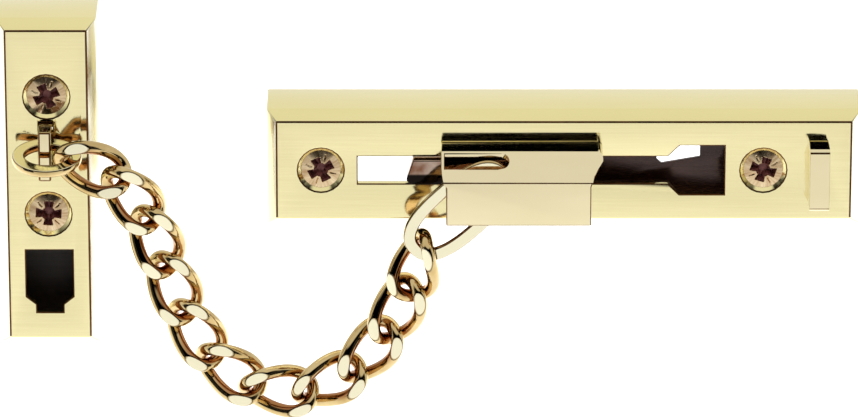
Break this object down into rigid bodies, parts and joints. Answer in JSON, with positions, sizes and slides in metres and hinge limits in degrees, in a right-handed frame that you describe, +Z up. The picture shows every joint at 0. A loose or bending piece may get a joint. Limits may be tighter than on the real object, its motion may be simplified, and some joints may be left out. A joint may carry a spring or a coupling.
{
  "type": "door chain guard",
  "caption": "Brass door chain guard: a slotted slide rail with a sliding knob, an upright frame plate, and a curb-link chain between them.",
  "frame": {"origin": "middle of the rail plate's lower rear rim, on the plane that lies against the door", "axes": "+X along the slide rail, away from the frame plate; +Y into the door; +Z up"},
  "size_m": [0.1753, 0.0423, 0.0839],
  "materials": {
    "polished_brass": "polished and lacquered",
    "chain_brass": "polished, with ground flats",
    "bronze_screw": "bronze plated",
    "blackened_steel": "blackened"
  },
  "bodies": {
    "mounted_plates": {"rail_plate": "polished_brass", "rail_backing": "blackened_steel", "rail_rib": "polished_brass", "frame_plate": "polished_brass", "frame_backing": "blackened_steel", "anchor_staple": "polished_brass", "rail_screw_left": "bronze_screw", "rail_screw_right": "bronze_screw", "frame_screw_upper": "bronze_screw", "frame_screw_lower": "bronze_screw"},
    "slider": {"slider_knob": "polished_brass", "slider_tongue": "blackened_steel", "slider_head": "blackened_steel", "slider_rivet": "polished_brass", "ring_post": "polished_brass"},
    "anchor_ring": {"anchor_ring": "chain_brass"},
    "chain_link_01": {"chain_link_01": "chain_brass"},
    "chain_link_02": {"chain_link_02": "chain_brass"},
    "chain_link_03": {"chain_link_03": "chain_brass"},
    "chain_link_04": {"chain_link_04": "chain_brass"},
    "chain_link_05": {"chain_link_05": "chain_brass"},
    "chain_link_06": {"chain_link_06": "chain_brass"},
    "chain_link_07": {"chain_link_07": "chain_brass"},
    "chain_link_08": {"chain_link_08": "chain_brass"},
    "chain_link_09": {"chain_link_09": "chain_brass"},
    "chain_link_10": {"chain_link_10": "chain_brass"},
    "chain_link_11": {"chain_link_11": "chain_brass"},
    "end_ring": {"end_ring": "chain_brass"}
  },
  "joints": [
    {"name": "slider_slide", "type": "slide", "parent": "mounted_plates", "child": "slider", "axis": [1, 0, 0], "range_m": [-0.0085, 0.0416]},
    {"name": "anchor_ring_swing", "type": "hinge", "parent": "mounted_plates", "child": "anchor_ring", "pos_m": [-0.105, -0.0194, 0.0165], "axis": [0, -1, 0], "range_deg": [-3, 2]},
    {"name": "chain_link_01_swing", "type": "hinge", "parent": "anchor_ring", "child": "chain_link_01", "pos_m": [-0.10035, -0.0211, 0.0165], "axis": [0, -1, 0], "range_deg": [-3, 12]},
    {"name": "chain_link_02_swing", "type": "hinge", "parent": "chain_link_01", "child": "chain_link_02", "pos_m": [-0.09023, -0.0209, 0.0122], "axis": [0, -1, 0], "range_deg": [-4, 17]},
    {"name": "chain_link_03_swing", "type": "hinge", "parent": "chain_link_02", "child": "chain_link_03", "pos_m": [-0.08411, -0.0197, 0.00314], "axis": [0, -1, 0], "range_deg": [-3, 13]},
    {"name": "chain_link_04_swing", "type": "hinge", "parent": "chain_link_03", "child": "chain_link_04", "pos_m": [-0.08092, -0.0185, -0.00732], "axis": [0, -1, 0], "range_deg": [-6, 2]},
    {"name": "chain_link_05_swing", "type": "hinge", "parent": "chain_link_04", "child": "chain_link_05", "pos_m": [-0.07733, -0.0183, -0.01772], "axis": [0, -1, 0], "range_deg": [-5, 2]},
    {"name": "chain_link_06_swing", "type": "hinge", "parent": "chain_link_05", "child": "chain_link_06", "pos_m": [-0.072, -0.0183, -0.02734], "axis": [0, -1, 0], "range_deg": [-12, 3]},
    {"name": "chain_link_07_swing", "type": "hinge", "parent": "chain_link_06", "child": "chain_link_07", "pos_m": [-0.06358, -0.0183, -0.03441], "axis": [0, -1, 0], "range_deg": [-14, 4]},
    {"name": "chain_link_08_swing", "type": "hinge", "parent": "chain_link_07", "child": "chain_link_08", "pos_m": [-0.05266, -0.0183, -0.03575], "axis": [0, -1, 0], "range_deg": [-16, 4]},
    {"name": "chain_link_09_swing", "type": "hinge", "parent": "chain_link_08", "child": "chain_link_09", "pos_m": [-0.04277, -0.0183, -0.03093], "axis": [0, -1, 0], "range_deg": [-13, 4]},
    {"name": "chain_link_10_swing", "type": "hinge", "parent": "chain_link_09", "child": "chain_link_10", "pos_m": [-0.03585, -0.0185, -0.02238], "axis": [0, -1, 0], "range_deg": [-10, 3]},
    {"name": "chain_link_11_swing", "type": "hinge", "parent": "chain_link_10", "child": "chain_link_11", "pos_m": [-0.03123, -0.0197, -0.01247], "axis": [0, -1, 0], "range_deg": [-8, 2]},
    {"name": "end_ring_swing", "type": "hinge", "parent": "chain_link_11", "child": "end_ring", "pos_m": [-0.02844, -0.0219, -0.00206], "axis": [0, -1, 0], "range_deg": [-5, 19]}
  ],
  "couplings": [
    {"joint": "anchor_ring_swing", "follows": "slider_slide", "rad_per_m": -1.0472},
    {"joint": "chain_link_01_swing", "follows": "slider_slide", "rad_per_m": 4.7124},
    {"joint": "chain_link_02_swing", "follows": "slider_slide", "rad_per_m": 6.6322},
    {"joint": "chain_link_03_swing", "follows": "slider_slide", "rad_per_m": 5.0614},
    {"joint": "chain_link_04_swing", "follows": "slider_slide", "rad_per_m": -2.2689},
    {"joint": "chain_link_05_swing", "follows": "slider_slide", "rad_per_m": -1.5708},
    {"joint": "chain_link_06_swing", "follows": "slider_slide", "rad_per_m": -4.7124},
    {"joint": "chain_link_07_swing", "follows": "slider_slide", "rad_per_m": -5.585},
    {"joint": "chain_link_08_swing", "follows": "slider_slide", "rad_per_m": -6.2832},
    {"joint": "chain_link_09_swing", "follows": "slider_slide", "rad_per_m": -5.236},
    {"joint": "chain_link_10_swing", "follows": "slider_slide", "rad_per_m": -3.6652},
    {"joint": "chain_link_11_swing", "follows": "slider_slide", "rad_per_m": -2.7925},
    {"joint": "end_ring_swing", "follows": "slider_slide", "rad_per_m": 7.5049}
  ]
}
